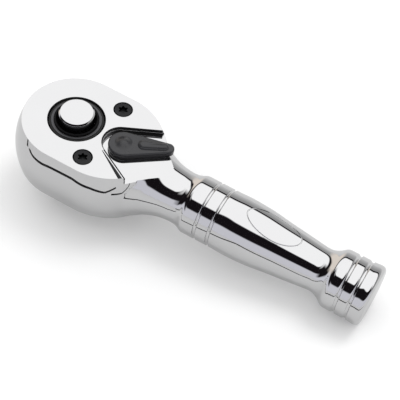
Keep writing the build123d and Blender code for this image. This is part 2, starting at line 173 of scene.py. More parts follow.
# Radius of the neck and the handle about their axis, at stations along X, in millimetres
NECK = [(20.0, 15.4), (23.5, 14.05), (26.0, 12.9), (28.0, 11.7), (30.1, 10.46), (34.0, 9.0), (38.2, 8.38)]
FRONT_FLARE = [(40.6, 8.5), (42.0, 8.92), (43.0, 9.4), (43.6, 9.57), (44.4, 9.6)]
GRIP = [(53.9, 9.6), (59.0, 9.72), (66.0, 9.38), (73.0, 8.5), (80.0, 7.74), (84.5, 7.2), (86.6, 7.02)]
END_FLARE = [(88.2, 7.3), (89.8, 8.1), (91.2, 9.15), (92.0, 9.48), (92.8, 9.55)]
END_COLLAR = [(100.5, 9.6), (102.0, 9.75)]
PROFILE = NECK + FRONT_FLARE + GRIP + END_FLARE + END_COLLAR
FLARES = [(37.0, 44.5), (85.0, 93.0)]
GROOVES = [48.3, 52.9, 95.7, 99.6]
HANDLE_END = 104.5


def between(points, x):
    """Height of a smooth curve through points at x, by cubic pieces with finite slopes."""
    slopes = []
    for i in range(len(points)):
        before = points[max(i - 1, 0)]
        after = points[min(i + 1, len(points) - 1)]
        slopes.append((after[1] - before[1]) / (after[0] - before[0]))
    for i in range(len(points) - 1):
        start, end = points[i], points[i + 1]
        if x <= end[0] or i == len(points) - 2:
            span = end[0] - start[0]
            t = (x - start[0]) / span
            rise = (2 * t**3 - 3 * t**2 + 1) * start[1] + (-2 * t**3 + 3 * t**2) * end[1]
            lean = (t**3 - 2 * t**2 + t) * slopes[i] + (t**3 - t**2) * slopes[i + 1]
            return rise + lean * span


def handle_radius(x):
    """Radius of the neck and handle at x, both in millimetres, without the grooves."""
    return between(PROFILE, min(x, PROFILE[-1][0]))


def groove_dip(x, width, depth):
    """How far the grooves cut into the handle at x, in millimetres."""
    for place in GROOVES:
        off = abs(x - place) / (width / 2)
        if off < 1:
            return depth * (1 - off**2) ** 0.5
    return 0.0


def handle_stations(width, last):
    """Places along X for the handle's profile, close together at the grooves and the flares."""
    stations = []
    x = PROFILE[0][0]
    while x < last:
        near = min(abs(x - place) for place in GROOVES)
        flare = any(start < x < end for start, end in FLARES)
        stations.append(x)
        x += 0.06 if near < width * 0.75 else 0.2 if flare else 0.42
    return stations


def outward(sizes, x, y):
    """Direction square to the head's outline at a point on it."""
    if x < 0:
        way = Vector((x, y, 0))
    elif x < sizes.side_end + 1e-6:
        way = Vector((0, y, 0))
    else:
        offset = sizes.back_radius - sizes.radius
        way = Vector((x - sizes.side_end, y + math.copysign(offset, y), 0))
    return way.normalized()


def swell(sizes, level):
    """How far the side wall stands out at a level."""
    part = (level - sizes.swell_level) / (COVER_HIGH.z - sizes.swell_level)
    return sizes.swell * (1 - part * part)


def walk(bm, start, moves):
    """Extends an outline from a vertex by spins and straight runs, and returns its last vertex."""
    last = start
    for kind, *values in moves:
        if kind == "arc":
            centre, angle, steps = values
            made = bmesh.ops.spin(bm, geom=[last], cent=centre, axis=(0, 0, 1), angle=angle, steps=steps)
            last = made["geom_last"][0]
        else:
            target, steps = values
            step = (Vector(target) - last.co) / steps
            for _ in range(steps):
                made = bmesh.ops.extrude_vert_indiv(bm, verts=[last])
                bmesh.ops.translate(bm, vec=step, verts=made["verts"])
                last = made["verts"][0]
    return last


def new_verts(made):
    """The vertices among what a bmesh operator made."""
    return [g for g in made if isinstance(g, bmesh.types.BMVert)]


def mirrored_outline(bm):
    """Closes a half outline drawn on the -Y side by its mirror image."""
    whole = bm.verts[:] + bm.edges[:]
    bmesh.ops.mirror(bm, geom=whole, axis="Y", merge_dist=1e-6)
    bmesh.ops.remove_doubles(bm, verts=bm.verts[:], dist=1e-6)


def spun(points, centre=(0, 0, 0), axis=(0, 0, 1), steps=ROUND):
    """A bmesh of a profile of points turned a full circle."""
    bm = bmesh.new()
    verts = [bm.verts.new(p) for p in points]
    edges = [bm.edges.new(pair) for pair in zip(verts, verts[1:])]
    bmesh.ops.spin(bm, geom=verts + edges, cent=centre, axis=axis, angle=math.tau, steps=steps,
                   use_merge=True)
    bmesh.ops.remove_doubles(bm, verts=bm.verts[:], dist=1e-7)
    bmesh.ops.recalc_face_normals(bm, faces=bm.faces[:])
    return bm


def rounded(corners, segments=5):
    """Points along a path of (radius, level, rounding) corners, with each corner rounded, in XZ."""
    points = []
    for i, (r, z, rounding) in enumerate(corners):
        here = Vector((r, 0, z))
        if rounding <= 0 or i in (0, len(corners) - 1):
            points.append(here)
            continue
        to_last = (Vector((corners[i - 1][0], 0, corners[i - 1][1])) - here).normalized()
        to_next = (Vector((corners[i + 1][0], 0, corners[i + 1][1])) - here).normalized()
        half = to_last.angle(to_next) / 2
        reach = rounding / math.tan(half)
        centre = here + (to_last + to_next).normalized() * (rounding / math.sin(half))
        first = (here + to_last * reach - centre) / rounding
        last = (here + to_next * reach - centre) / rounding
        for step in range(segments + 1):
            points.append(centre + first.slerp(last, step / segments) * rounding)
    return points


def bar(bm, heel, toe, reach, low, high, start=0.0):
    """A closed block whose plan is two circles joined by tangents, pointing along +X."""
    lean = math.asin((heel - toe) / (reach - start))
    quarter = math.pi / 2
    first = bm.verts.new((start - heel, 0, low))
    corner = (reach - toe * -math.sin(lean), -toe * math.cos(lean), low)
    walk(bm, first, [("arc", (start, 0, low), quarter + lean, 24), ("run", corner, 12),
                     ("arc", (reach, 0, low), quarter - lean, 14)])
    mirrored_outline(bm)
    face = bmesh.ops.contextual_create(bm, geom=bm.edges[:])["faces"]
    grown = bmesh.ops.extrude_face_region(bm, geom=face)
    bmesh.ops.translate(bm, vec=(0, 0, high - low), verts=new_verts(grown["geom"]))
    bmesh.ops.recalc_face_normals(bm, faces=bm.faces[:])


def level_edges(bm, level):
    """Edges that lie at a level."""
    return [e for e in bm.edges if all(abs(v.co.z - level) < 1e-6 for v in e.verts)]


def soften(bm, edges, radius, segments=4):
    """Rounds edges."""
    bmesh.ops.bevel(bm, geom=edges, offset=radius, offset_type="OFFSET", affect="EDGES",
                    segments=segments, profile=0.5, material=-1, clamp_overlap=True)


def as_object(bm, name):
    """A linked object from a bmesh, which is freed."""
    mesh = bpy.data.meshes.new(name)
    bm.to_mesh(mesh)
    bm.free()
    thing = bpy.data.objects.new(name, mesh)
    bpy.context.scene.collection.objects.link(thing)
    return thing


def combined(target, tool, operation):
    """Applies a boolean of tool to target and removes tool."""
    modifier = target.modifiers.new("Boolean", "BOOLEAN")
    modifier.operation = operation
    modifier.solver = "EXACT"
    modifier.object = tool
    bpy.context.view_layer.update()
    graph = bpy.context.evaluated_depsgraph_get()
    made = bpy.data.meshes.new_from_object(target.evaluated_get(graph))
    target.modifiers.clear()
    old = target.data
    target.data = made
    made.name = old.name
    bpy.data.meshes.remove(old)
    bpy.data.objects.remove(tool)


def finished(thing, material, body, nodes, sharp=30.0):
    """Smooths, paints and hands a piece to the frame."""
    mesh = thing.data
    mesh.materials.clear()
    mesh.materials.append(material)
    for polygon in mesh.polygons:
        polygon.use_smooth = True
    mesh.set_sharp_from_angle(angle=math.radians(sharp))
    weighted = thing.modifiers.new("Weighted normals", "WEIGHTED_NORMAL")
    weighted.keep_sharp = True
    weighted.weight = 80
    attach(thing, body)
    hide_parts(*nodes)
    return thing


def disc(radius, low, high, x=0.0, y=0.0, steps=ROUND):
    """An upright cylinder between two levels, as a bmesh."""
    points = [(x, y, low), (x + radius, y, low), (x + radius, y, high), (x, y, high)]
    return spun(points, centre=(x, y, 0), steps=steps)


def head_bmesh(sizes):
    """The barrel-walled head from its rounded lower edge to the deck."""
    bm = bmesh.new()
    bottom, deck = HEAD_BOTTOM, COVER_LOW.z
    offset = sizes.back_radius - sizes.radius
    first = bm.verts.new((-sizes.radius, 0, bottom))
    back_turn = math.pi / 2 - sizes.back_angle
    last = walk(bm, first, [
        ("arc", (0, 0, bottom), math.pi / 2, 64),
        ("run", (sizes.side_end, -sizes.radius, bottom), 14),
        ("arc", (sizes.side_end, offset, bottom), back_turn, 40),
    ])
    walk(bm, last, [("run", (last.co.x, 0, bottom), 6)])
    mirrored_outline(bm)
    ring = bm.edges[:]
    verts = {v for e in ring for v in e.verts}
    curve = sizes.bottom_round
    levels = [(bottom, swell(sizes, bottom + curve) - curve)]
    for step in range(1, 11):
        angle = math.pi / 2 * step / 10
        level = bottom + curve * (1 - math.cos(angle))
        levels.append((level, swell(sizes, bottom + curve) - curve * (1 - math.sin(angle))))
    for step in range(1, 19):
        level = bottom + curve + (deck - bottom - curve) * step / 18
        levels.append((level, swell(sizes, level)))
    for v in verts:
        v.co += outward(sizes, v.co.x, v.co.y) * levels[0][1]
    grown = levels[0][1]
    bmesh.ops.contextual_create(bm, geom=ring)
    for level, out in levels[1:]:
        made = bmesh.ops.extrude_edge_only(bm, edges=ring)["geom"]
        ring = [g for g in made if isinstance(g, bmesh.types.BMEdge)]
        for v in new_verts(made):
            v.co += base_way(sizes, v.co, grown) * (out - grown)
            v.co.z = level
        grown = out
    bmesh.ops.contextual_create(bm, geom=ring)
    bmesh.ops.recalc_face_normals(bm, faces=bm.faces[:])
    return bm


def base_way(sizes, place, grown):
    """Outward direction at a point that already stands out from the outline."""
    end_x = sizes.side_end + (sizes.back_radius + grown) * math.cos(sizes.back_angle)
    if place.x > end_x - 1e-6 and abs(place.y) < 1e-6:
        return Vector((math.cos(sizes.back_angle), 0, 0))
    if place.x > end_x - 1e-5:
        edge_y = (sizes.back_radius + grown) * math.sin(sizes.back_angle)
        edge_y -= sizes.back_radius - sizes.radius
        up = math.sin(sizes.back_angle) * place.y / edge_y
        return Vector((math.cos(sizes.back_angle), up, 0))
    return outward(sizes, place.x, place.y)


def neck_and_handle(handle):
    """Neck and handle turned about their axis, with the neck cut flat above and below."""
    width, depth = handle.groove_width / MM, handle.groove_depth / MM
    axis = handle.axis
    outer = PROFILE[-1][1] * MM
    end = HANDLE_END * MM - handle.end_crown
    points = [(PROFILE[0][0] * MM, 0, axis)]
    for x in handle_stations(width, (end - handle.end_round) / MM - 0.1):
        radius = handle_radius(x) - groove_dip(x, width, depth)
        points.append((x * MM, 0, axis + radius * MM))
    for step in range(9):
        angle = math.pi / 2 * step / 8
        x = end - handle.end_round * (1 - math.sin(angle))
        points.append((x, 0, axis + outer - handle.end_round * (1 - math.cos(angle))))
    for step in range(1, 9):
        part = step / 8
        radius = (outer - handle.end_round) * (1 - part)
        points.append((end + handle.end_crown * (1 - (1 - part) ** 2), 0, axis + radius))
    bm = spun(points, centre=(0, 0, axis), axis=(1, 0, 0), steps=160)
    for level, way in ((COVER_LOW.z, 1), (HEAD_BOTTOM, -1)):
        near = [f for f in bm.faces if max(v.co.x for v in f.verts) < FLARES[0][0] * MM]
        geom = list({v for f in near for v in f.verts} | {e for f in near for e in f.edges}) + near
        bmesh.ops.bisect_plane(bm, geom=geom, dist=1e-7, plane_co=(0, 0, level), plane_no=(0, 0, way),
                               clear_outer=True)
        rim = [e for e in bm.edges if e.is_boundary]
        bmesh.ops.contextual_create(bm, geom=rim)
    bmesh.ops.recalc_face_normals(bm, faces=bm.faces[:])
    return bm


def oval_line(handle):
    """A thin closed ring that lies along the oval on the top of the grip."""
    long, wide = handle.oval_length / 2, handle.oval_width / 2
    bm = bmesh.new()
    bmesh.ops.create_circle(bm, radius=handle.oval_line / 2, segments=12)
    bmesh.ops.rotate(bm, cent=(0, 0, 0), matrix=Matrix.Rotation(math.pi / 2, 3, "X"), verts=bm.verts[:])
    bmesh.ops.translate(bm, vec=(long, 0, 0), verts=bm.verts[:])
    bmesh.ops.spin(bm, geom=bm.verts[:] + bm.edges[:], cent=(0, 0, 0), axis=(0, 0, 1), angle=math.tau,
                   steps=180, use_merge=True)
    bmesh.ops.remove_doubles(bm, verts=bm.verts[:], dist=1e-7)
    for v in bm.verts:
        angle = math.atan2(v.co.y, v.co.x)
        off = v.co.xy.length - long
        x = handle.oval_centre + (long + off) * math.cos(angle)
        y = (wide + off) * math.sin(angle)
        radius = handle_radius(x / MM) * MM
        v.co = (x, y, v.co.z + handle.axis + math.sqrt(radius**2 - y**2) + 0.04 * MM)
    bmesh.ops.recalc_face_normals(bm, faces=bm.faces[:])
    return bm


def horn(sizes):
    """Where the notch's side meets the head's outline, on the -Y side."""
    touch = notch_touch(sizes)
    way = Vector((math.cos(sizes.notch_angle), -math.sin(sizes.notch_angle)))
    centre = Vector((sizes.side_end, sizes.back_radius - sizes.radius))
    to_start = touch - centre
    along = to_start.dot(way)
    reach = -along + math.sqrt(along**2 - to_start.length_squared + sizes.back_radius**2)
    return touch + way * reach


def notch_touch(sizes):
    """Where the notch's round end meets its straight side, on the -Y side."""
    return Vector((sizes.notch_centre - sizes.notch_radius * math.sin(sizes.notch_angle),
                   -sizes.notch_radius * math.cos(sizes.notch_angle)))


def cover_bmesh(sizes):
    """The cover's plan with its notch, extruded and softened at the top."""
    bm = bmesh.new()
    low, high = COVER_LOW.z, COVER_HIGH.z
    offset = sizes.back_radius - sizes.radius
    tip, touch = horn(sizes), notch_touch(sizes)
    centre = Vector((sizes.side_end, offset))
    spoke = tip - centre
    back_turn = math.pi / 2 + math.atan2(spoke.y, spoke.x)
    first = bm.verts.new((-sizes.radius, 0, high))
    walk(bm, first, [
        ("arc", (0, 0, high), math.pi / 2, 64),
        ("run", (sizes.side_end, -sizes.radius, high), 1),
        ("arc", (sizes.side_end, offset, high), back_turn, 32),
        ("run", (touch.x, touch.y, high), 1),
        ("arc", (sizes.notch_centre, 0, high), -(math.pi / 2 - sizes.notch_angle), 28),
    ])
    mirrored_outline(bm)
    face = bmesh.ops.contextual_create(bm, geom=bm.edges[:])["faces"]
    made = bmesh.ops.extrude_face_region(bm, geom=face)["geom"]
    flare = swell(sizes, low)
    for v in new_verts(made):
        v.co.z = low
        if not in_notch(sizes, v.co):
            v.co += outward(sizes, v.co.x, v.co.y) * flare
    bmesh.ops.recalc_face_normals(bm, faces=bm.faces[:])
    outside = [e for e in level_edges(bm, high)
               if not all(in_notch(sizes, v.co, sizes.notch_edge) for v in e.verts)]
    soften(bm, outside, sizes.cover_edge)
    inside = [e for e in level_edges(bm, high) if all(in_notch(sizes, v.co) for v in e.verts)]
    soften(bm, inside, sizes.notch_edge, 1)
    mark_painted_land(bm, sizes, high)
    return bm


def painted_land_frame(sizes):
    """Directions along and away from the -Y side of the notch, and how much the painted dark reflection
    spreads.
    """
    along = Vector((math.cos(sizes.notch_angle), -math.sin(sizes.notch_angle), 0))
    away = Vector((-math.sin(sizes.notch_angle), -math.cos(sizes.notch_angle), 0))
    reach = (horn(sizes) - notch_touch(sizes)).length
    return along, away, math.atan2(sizes.notch_painted_land - sizes.notch_painted_start, reach)


def mark_painted_land(bm, sizes, high):
    """Cuts the borders of the painted dark reflection beside the -Y side of the notch into the cover's
    top.
    """
    touch = notch_touch(sizes).to_3d() + Vector((0, 0, high))
    along, away, spread = painted_land_frame(sizes)
    lip = sizes.notch_edge + sizes.notch_painted_lip
    cuts = [(touch, along), (touch + away * lip, away), (touch + away * (lip + sizes.notch_glint), away),
            (touch + away * sizes.notch_painted_start, away * math.cos(spread) - along * math.sin(spread))]
    for place, normal in cuts:
        top = [f for f in bm.faces if all(abs(v.co.z - high) < 1e-7 for v in f.verts)]
        geom = list({v for f in top for v in f.verts} | {e for f in top for e in f.edges}) + top
        bmesh.ops.bisect_plane(bm, geom=geom, dist=1e-7, plane_co=place, plane_no=normal)


def on_painted_land(sizes, place):
    """Whether a point of the cover's top lies on the painted dark reflection beside the notch: the dark
    lip and the dark land, not the bright line between them.
    """
    along, away, spread = painted_land_frame(sizes)
    off = place - notch_touch(sizes).to_3d()
    ahead, aside = off.dot(along), off.dot(away)
    past_lip = aside - sizes.notch_edge - sizes.notch_painted_lip
    if ahead < 0 or aside < 0 or 0 < past_lip < sizes.notch_glint:
        return False
    return aside < sizes.notch_painted_start + ahead * math.tan(spread)


def in_notch(sizes, place, margin=0.0):
    """Whether a point lies on the notch's edge or inside it."""
    room = margin + 0.06 * MM
    if place.x < sizes.notch_centre - sizes.notch_radius - room:
        return False
    return abs(place.y) < notch_half(sizes, place.x + room) + room / math.cos(sizes.notch_angle)


def notch_half(sizes, x):
    """Half the notch's width at x."""
    touch = notch_touch(sizes)
    if x > touch.x:
        return -touch.y + (x - touch.x) * math.tan(sizes.notch_angle)
    across = sizes.notch_radius**2 - (sizes.notch_centre - x) ** 2
    return math.sqrt(max(across, 0.0))


def screw_places(sizes):
    """Where the two cover screws stand."""
    return [(sizes.screw_x, sizes.screw_y), (sizes.screw_x, -sizes.screw_y)]


def lobe_cutter(x, y, low, high):
    """A six-lobed driver recess."""
    bm = bmesh.new()
    bmesh.ops.create_circle(bm, cap_ends=True, radius=1.0 * MM, segments=72)
    for v in bm.verts:
        angle = math.atan2(v.co.y, v.co.x)
        wave = 1.36 * MM + 0.27 * MM * math.cos(6 * angle)
        v.co = (wave * math.cos(angle), wave * math.sin(angle), low)
    made = bmesh.ops.extrude_face_region(bm, geom=bm.faces[:])["geom"]
    bmesh.ops.translate(bm, vec=(0, 0, high - low), verts=new_verts(made))
    bmesh.ops.translate(bm, vec=(x, y, 0), verts=bm.verts[:])
    bmesh.ops.recalc_face_normals(bm, faces=bm.faces[:])
    return bm


# ---- Materials ----------------------------------------------------------------------------


def group_io(group, ins, outs):
    """Adds named sockets to a node group and its input and output nodes."""
    for name, kind, value in ins:
        socket = group.interface.new_socket(name=name, in_out="INPUT", socket_type=kind)
        socket.default_value = value
    for name, kind in outs:
        group.interface.new_socket(name=name, in_out="OUTPUT", socket_type=kind)
    return group.nodes.new("NodeGroupInput"), group.nodes.new("NodeGroupOutput")


def placed(nodes, kind, values=None, **settings):
    """A new node with its settings and the values of its inputs."""
    node = nodes.new(kind)
    for name, setting in settings.items():
        setattr(node, name, setting)
    for name, value in (values or {}).items():
        node.inputs[name].default_value = value
    return node


def surface_group():
    """Fine polishing lines, faint smears and small pits, from Object coordinates."""
    name = "Metal surface"
    if name in bpy.data.node_groups:
        return bpy.data.node_groups[name]
    group = bpy.data.node_groups.new(name, "ShaderNodeTree")
    ins, outs = group_io(group, [
        ("Scale", "NodeSocketFloat", 1.0), ("Stretch", "NodeSocketVector", (1, 1, 1)),
        ("Roughness", "NodeSocketFloat", 0.1), ("Variation", "NodeSocketFloat", 0.05),
        ("Colour", "NodeSocketColor", (0.8, 0.8, 0.8, 1)),
        ("Dark colour", "NodeSocketColor", (0.7, 0.7, 0.7, 1)),
    ], [("Colour", "NodeSocketColor"), ("Roughness", "NodeSocketFloat"), ("Height", "NodeSocketFloat")])
    nodes = group.nodes
    coords = nodes.new("ShaderNodeTexCoord")
    scale = placed(nodes, "ShaderNodeVectorMath", operation="SCALE")
    stretch = placed(nodes, "ShaderNodeVectorMath", operation="MULTIPLY")
    lines = placed(nodes, "ShaderNodeTexNoise", {"Scale": 900.0, "Detail": 4.0})
    smears = placed(nodes, "ShaderNodeTexNoise", {"Scale": 90.0, "Detail": 3.0})
    pits = placed(nodes, "ShaderNodeTexVoronoi", {"Scale": 500.0})
    pit_mask = placed(nodes, "ShaderNodeMapRange", {"From Min": 0.05, "From Max": 0.0})
    together = placed(nodes, "ShaderNodeMath", {1: 0.5}, operation="MULTIPLY_ADD")
    centred = placed(nodes, "ShaderNodeMath", {1: 0.75}, operation="SUBTRACT")
    rough = placed(nodes, "ShaderNodeMath", operation="MULTIPLY_ADD")
    mix = placed(nodes, "ShaderNodeMix", data_type="RGBA")
    height = placed(nodes, "ShaderNodeMath", operation="SUBTRACT")
    for source, target in [
        (coords.outputs["Object"], scale.inputs[0]), (ins.outputs["Scale"], scale.inputs["Scale"]),
        (scale.outputs[0], stretch.inputs[0]), (ins.outputs["Stretch"], stretch.inputs[1]),
        (stretch.outputs[0], lines.inputs["Vector"]), (scale.outputs[0], smears.inputs["Vector"]),
        (scale.outputs[0], pits.inputs["Vector"]), (pits.outputs["Distance"], pit_mask.inputs["Value"]),
        (lines.outputs["Fac"], together.inputs[0]), (smears.outputs["Fac"], together.inputs[2]),
        (together.outputs[0], centred.inputs[0]), (centred.outputs[0], rough.inputs[0]),
        (ins.outputs["Variation"], rough.inputs[1]), (ins.outputs["Roughness"], rough.inputs[2]),
        (smears.outputs["Fac"], mix.inputs["Factor"]), (ins.outputs["Dark colour"], mix.inputs["A"]),
        (ins.outputs["Colour"], mix.inputs["B"]), (lines.outputs["Fac"], height.inputs[0]),
        (pit_mask.outputs[0], height.inputs[1]), (mix.outputs["Result"], outs.inputs["Colour"]),
        (rough.outputs[0], outs.inputs["Roughness"]), (height.outputs[0], outs.inputs["Height"]),
    ]:
        group.links.new(source, target)
    return group


def metal(name, colour, dark, roughness, variation, bump, scale=1.0, stretch=(1, 1, 1), metallic=1.0):
    """A metal or coated finish whose surface comes from the shared group."""
    if name in bpy.data.materials:
        return bpy.data.materials[name]
    material = bpy.data.materials.new(name)
    material.use_nodes = True
    nodes, links = material.node_tree.nodes, material.node_tree.links
    shader = nodes["Principled BSDF"]
    shader.inputs["Metallic"].default_value = metallic
    surface = placed(nodes, "ShaderNodeGroup", node_tree=surface_group(), values={
        "Scale": scale, "Stretch": stretch, "Roughness": roughness, "Variation": variation,
        "Colour": (*colour, 1), "Dark colour": (*dark, 1),
    })
    links.new(surface.outputs["Colour"], shader.inputs["Base Color"])
    links.new(surface.outputs["Roughness"], shader.inputs["Roughness"])
    relief = placed(nodes, "ShaderNodeBump", {"Strength": bump, "Distance": 0.01 * MM})
    links.new(surface.outputs["Height"], relief.inputs["Height"])
    links.new(relief.outputs["Normal"], shader.inputs["Normal"])
    return material


def shaded(colour, by):
    """A colour scaled by a share."""
    return tuple(c * by for c in colour)


def chrome():
    """Polished chrome plating."""
    finish = bpy.context.scene.wrench_finish
    worn = shaded(finish.chrome, 0.97)
    return metal("Chrome plating", finish.chrome, worn, finish.chrome_rough, 0.02, 0.05)


def black_oxide():
    """Black oxide on the screws, the hub and the collar."""
    finish = bpy.context.scene.wrench_finish
    return metal("Black oxide", finish.black_oxide, shaded(finish.black_oxide, 0.7), 0.42, 0.12, 0.5)


def collar_black_and_painted_shade():
    """Black oxide of the collar around the button, darkened further as painted shade of the deep gap
    around the button.
    """
    finish = bpy.context.scene.wrench_finish
    # Darkened to 0.4 of the black oxide: painted shade of the gap around the button.
    colour = shaded(finish.black_oxide, 0.4)
    return metal("Collar black and painted shade", colour, shaded(colour, 0.7), 0.5, 0.12, 0.5)


def dark_wall_and_painted_shade():
    """Dull dark material of the notch wall, also painted shade on the countersink and hub-hole walls, a
    painted dark reflection beside the notch, and a painted highlight line.
    """
    finish = bpy.context.scene.wrench_finish
    material = metal("Dark wall and painted shade", finish.black_oxide, shaded(finish.black_oxide, 0.6), 0.4, 0.12, 0.5)
    nodes, links = material.node_tree.nodes, material.node_tree.links
    coords = nodes.new("ShaderNodeTexCoord")
    parts = nodes.new("ShaderNodeSeparateXYZ")
    links.new(coords.outputs["Object"], parts.inputs[0])
    # Painted highlight: a thin lighter band at one level, standing in for a bright edge line on the dark
    # walls.
    level, half = COVER_HIGH.z - 0.98 * MM, 0.16 * MM
    near = placed(nodes, "ShaderNodeMath", {1: level, 2: half}, operation="COMPARE")
    links.new(parts.outputs["Z"], near.inputs[0])
    line = placed(nodes, "ShaderNodeMix", {"B": (0.55, 0.55, 0.56, 1)}, data_type="RGBA")
    links.new(near.outputs[0], line.inputs["Factor"])
    shader = nodes["Principled BSDF"]
    links.new(shader.inputs["Base Color"].links[0].from_socket, line.inputs["A"])
    links.new(line.outputs["Result"], shader.inputs["Base Color"])
    return material


def hub_steel():
    """Dark phosphated steel of the drive gear."""
    finish = bpy.context.scene.wrench_finish
    colour = shaded(finish.black_oxide, 3.0)
    return metal("Phosphated steel", colour, shaded(colour, 0.75), 0.45, 0.14, 0.6, scale=0.8)


def lever_coat():
    """Satin coat of the lever."""
    finish = bpy.context.scene.wrench_finish
    return metal("Lever coat", finish.lever, shaded(finish.lever, 0.8), 0.28, 0.08, 0.35, metallic=0.0)


def bare_steel():
    """Ground steel of the pins, the rod and the springs."""
    finish = bpy.context.scene.wrench_finish
    worn = shaded(finish.steel, 0.8)
    return metal("Ground steel", finish.steel, worn, 0.3, 0.15, 0.4, stretch=(1, 1, 0.08))


def rubber():
    """Matt rubber of the seals."""
    finish = bpy.context.scene.wrench_finish
    worn = shaded(finish.rubber, 0.6)
    return metal("Seal rubber", finish.rubber, worn, 0.75, 0.1, 0.6, scale=1.6, metallic=0.0)


# ---- Pieces -------------------------------------------------------------------------------


class WRENCH_OT_body(bpy.types.Operator):
    """Builds the forged body: head, neck and turned handle."""
    bl_idname = "wrench.body"
    bl_label = "Body"

    def execute(self, context):
        head = context.scene.wrench_head
        handle = context.scene.wrench_handle
        lever = context.scene.wrench_lever
        shell = as_object(head_bmesh(head), "body_shell")
        combined(shell, as_object(neck_and_handle(handle), "neck_tool"), "UNION")
        deck, bottom = COVER_LOW.z, HEAD_BOTTOM
        pin_low, pin_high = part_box("pawl_pin")
        pin = (pin_low + pin_high) / 2
        cutters = [
            disc(WASHER_HIGH.x + 0.3 * MM, WASHER_LOW.z, deck + MM),
            disc(JOURNAL_HOLE, bottom - MM, WASHER_LOW.z + MM),
            disc((pin_high.x - pin_low.x) / 2 + 0.02 * MM, bottom - MM, pin_low.z, pin.x, pin.y, 48),
            disc(SPINDLE_HOLE, deck - 3 * MM, deck + MM, lever.pivot, 0, 64),
        ]
        for x, y in screw_places(head):
            cutters.append(disc(SCREW_HOLE, deck - 9 * MM, deck + MM, x, y, 48))
        for number, cutter in enumerate(cutters):
            combined(shell, as_object(cutter, f"cutter_{number}"), "DIFFERENCE")
        combined(shell, as_object(oval_line(handle), "oval_tool"), "DIFFERENCE")
        finished(shell, chrome(), "housing", ["ratchet_body"])
        return {"FINISHED"}


class WRENCH_OT_cover(bpy.types.Operator):
    """Builds the cover plate with its notch, hub hole and countersinks."""
    bl_idname = "wrench.cover"
    bl_label = "Cover"

    def execute(self, context):
        sizes = context.scene.wrench_head
        plate = as_object(cover_bmesh(sizes), "cover")
        low, high = COVER_LOW.z, COVER_HIGH.z
        hole, wide = sizes.hub_hole, sizes.hub_hole + sizes.hub_chamfer
        mouth = [(0, 0, low - MM), (hole, 0, low - MM), (hole, 0, high - sizes.hub_chamfer),
                 (wide, 0, high), (wide, 0, high + MM), (0, 0, high + MM)]
        combined(plate, as_object(spun(mouth), "mouth"), "DIFFERENCE")
        for x, y in screw_places(sizes):
            head = sizes.screw_head + 0.04 * MM
            steps = [(0, low - MM), (SCREW_CONE, low - MM), (SCREW_CONE, high - SCREW_CONE),
                     (head, high - 0.04 * MM), (head + 0.08 * MM, high + MM), (0, high + MM)]
            sink = [(x + out, y, level) for out, level in steps]
            combined(plate, as_object(spun(sink, centre=(x, y, 0), steps=96), "sink"), "DIFFERENCE")
        sunk = [Vector((x, y, high)) for x, y in screw_places(sizes)]
        finished(plate, chrome(), "housing", ["cover_plate"])
        plate.data.materials.append(dark_wall_and_painted_shade())
        # Second material: the notch wall (dark), the countersink and hub-hole walls (painted shade of the
        # gaps around the screws and the hub), and the land beside the notch (painted dark reflection).
        for face in plate.data.polygons:
            notched = in_notch(sizes, face.center, sizes.notch_edge)
            by_screw = min((face.center - place).length for place in sunk) < 3.5 * MM
            by_hub = face.center.xy.length < wide + 0.05 * MM
            on_top = face.normal.z > 0.999 and abs(face.center.z - high) < 1e-6
            dark_wall_and_gap_shade = abs(face.normal.z) < 0.9 and (notched or by_screw or by_hub)
            if dark_wall_and_gap_shade or on_top and on_painted_land(sizes, face.center):
                face.material_index = 1
        return {"FINISHED"}


class WRENCH_OT_screws(bpy.types.Operator):
    """Builds the two flush six-lobe screws."""
    bl_idname = "wrench.screws"
    bl_label = "Screws"

    def execute(self, context):
        sizes = context.scene.wrench_head
        bottom, top = SCREW_LOW.z, SCREW_HIGH.z
        for number, (x, y) in enumerate(screw_places(sizes)):
            head = sizes.screw_head - 0.24 * MM
            corners = [(0, bottom, 0), (1.2 * MM, bottom, 0), (SCREW_SHANK, bottom + 0.3 * MM, 0),
                       (SCREW_SHANK, top - SCREW_CONE, 0), (head, top - 0.22 * MM, 0.1 * MM),
                       (head - 0.12 * MM, top, 0.08 * MM), (0, top, 0)]
            points = [p + Vector((x, y, 0)) for p in rounded(corners)]
            screw = as_object(spun(points, centre=(x, y, 0), steps=96), f"screw_{number}")
            combined(screw, as_object(lobe_cutter(x, y, top - 1.3 * MM, top + MM), "lobes"), "DIFFERENCE")
            finished(screw, black_oxide(), "housing", ["cover_screws"])
        return {"FINISHED"}


